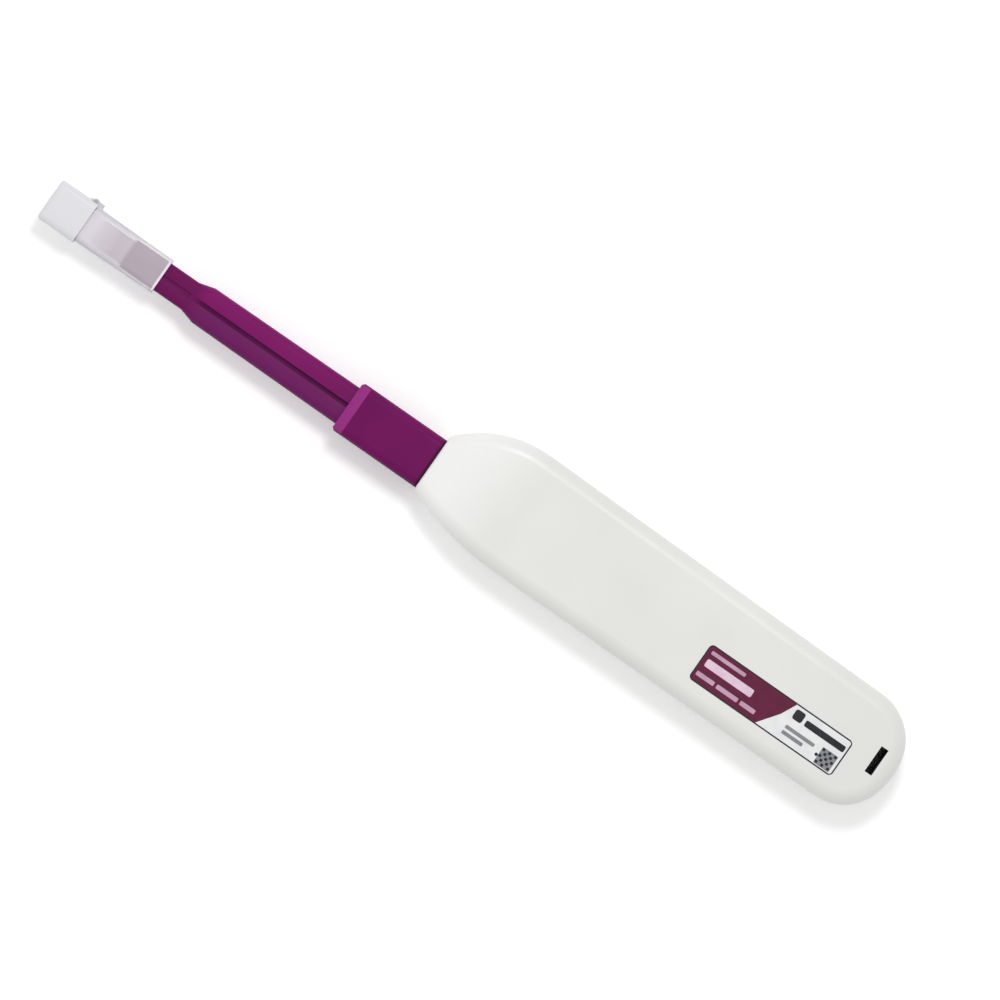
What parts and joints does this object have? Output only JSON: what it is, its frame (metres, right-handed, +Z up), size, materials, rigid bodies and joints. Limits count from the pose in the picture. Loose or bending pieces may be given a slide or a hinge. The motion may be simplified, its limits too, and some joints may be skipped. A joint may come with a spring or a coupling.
{
  "type": "fibre connector cleaning pen",
  "caption": "Push-to-clean pen for duplex fibre connectors: flat housing, sliding collar and nozzle, guide cap with hinged lid, thread-drive mechanism inside.",
  "frame": {"origin": "centre of the housing's flat underside", "axes": "+X along the pen towards its tip, +Z up out of the labelled face, +Y towards the side that the nozzle lies nearer to"},
  "size_m": [0.2399, 0.03, 0.018],
  "materials": {
    "housing_plastic": "fine matt moulded",
    "label_film": "satin printed film",
    "spring_steel": "drawn wire",
    "pin_steel": "ground",
    "collar_plastic": "satin moulded",
    "nozzle_plastic": "satin moulded",
    "inner_plastic": "moulded",
    "gear_plastic": "moulded",
    "reel_plastic": "moulded",
    "head_plastic": "moulded",
    "cleaning_thread": "fine twisted fibre",
    "used_thread": "fine twisted fibre",
    "frosted_plastic": "frosted, lets light through",
    "lid_plastic": "frosted, milky"
  },
  "bodies": {
    "housing": {"lower_shell": "housing_plastic", "upper_shell": "housing_plastic", "label": "label_film", "return_spring": "spring_steel"},
    "carriage": {"nozzle_collar": "collar_plastic", "nozzle": "nozzle_plastic", "chassis": "inner_plastic", "chassis_cover": "inner_plastic", "take_up_axle": "pin_steel", "supply_axle": "pin_steel", "over_guide_pin": "pin_steel", "out_guide_pin": "pin_steel", "back_guide_pin": "pin_steel", "head_spring_left": "spring_steel", "head_spring_right": "spring_steel", "cleaning_thread_left": "cleaning_thread", "cleaning_thread_right": "cleaning_thread"},
    "drive_gear": {"drive_gear": "gear_plastic"},
    "take_up_reel": {"take_up_reel": "reel_plastic", "take_up_roll": "used_thread"},
    "supply_reel": {"supply_reel": "reel_plastic", "supply_roll": "cleaning_thread"},
    "head_left": {"head_left": "head_plastic"},
    "head_right": {"head_right": "head_plastic"},
    "guide_cap": {"guide_cap": "frosted_plastic", "lid_pin": "pin_steel"},
    "cap_lid": {"cap_lid": "lid_plastic"}
  },
  "joints": [
    {"name": "push_stroke", "type": "slide", "parent": "housing", "child": "carriage", "axis": [-1, 0, 0], "range_m": [0, 0.013], "stiffness_N_per_m": 150, "springref_m": -0.01, "deforming": ["return_spring"]},
    {"name": "gear_spin", "type": "hinge", "parent": "carriage", "child": "drive_gear", "pos_m": [0.034, 0, 0.0084], "axis": [0, -1, 0], "range_deg": [0, 149]},
    {"name": "take_up_spin", "type": "hinge", "parent": "carriage", "child": "take_up_reel", "pos_m": [0.034, 0, 0.0084], "axis": [0, -1, 0], "range_deg": [0, 149]},
    {"name": "supply_spin", "type": "hinge", "parent": "carriage", "child": "supply_reel", "pos_m": [0.008, 0, 0.009], "axis": [0, 1, 0], "range_deg": [0, 94]},
    {"name": "head_press_left", "type": "slide", "parent": "carriage", "child": "head_left", "axis": [-1, 0, 0], "range_m": [0, 0.001], "stiffness_N_per_m": 100, "springref_m": -0.004, "deforming": ["head_spring_left"]},
    {"name": "head_press_right", "type": "slide", "parent": "carriage", "child": "head_right", "axis": [-1, 0, 0], "range_m": [0, 0.001], "stiffness_N_per_m": 100, "springref_m": -0.004, "deforming": ["head_spring_right"]},
    {"name": "cap_pull", "type": "slide", "parent": "carriage", "child": "guide_cap", "axis": [1, 0, 0], "range_m": [0, 0.025]},
    {"name": "lid_swing", "type": "hinge", "parent": "guide_cap", "child": "cap_lid", "pos_m": [0.16525, -0.0029, 0.009], "axis": [0, 0, -1], "range_deg": [0, 110]}
  ],
  "couplings": [
    {"joint": "gear_spin", "follows": "push_stroke", "rad_per_m": 200},
    {"joint": "take_up_spin", "follows": "push_stroke", "rad_per_m": 200},
    {"joint": "supply_spin", "follows": "push_stroke", "rad_per_m": 125.42}
  ]
}
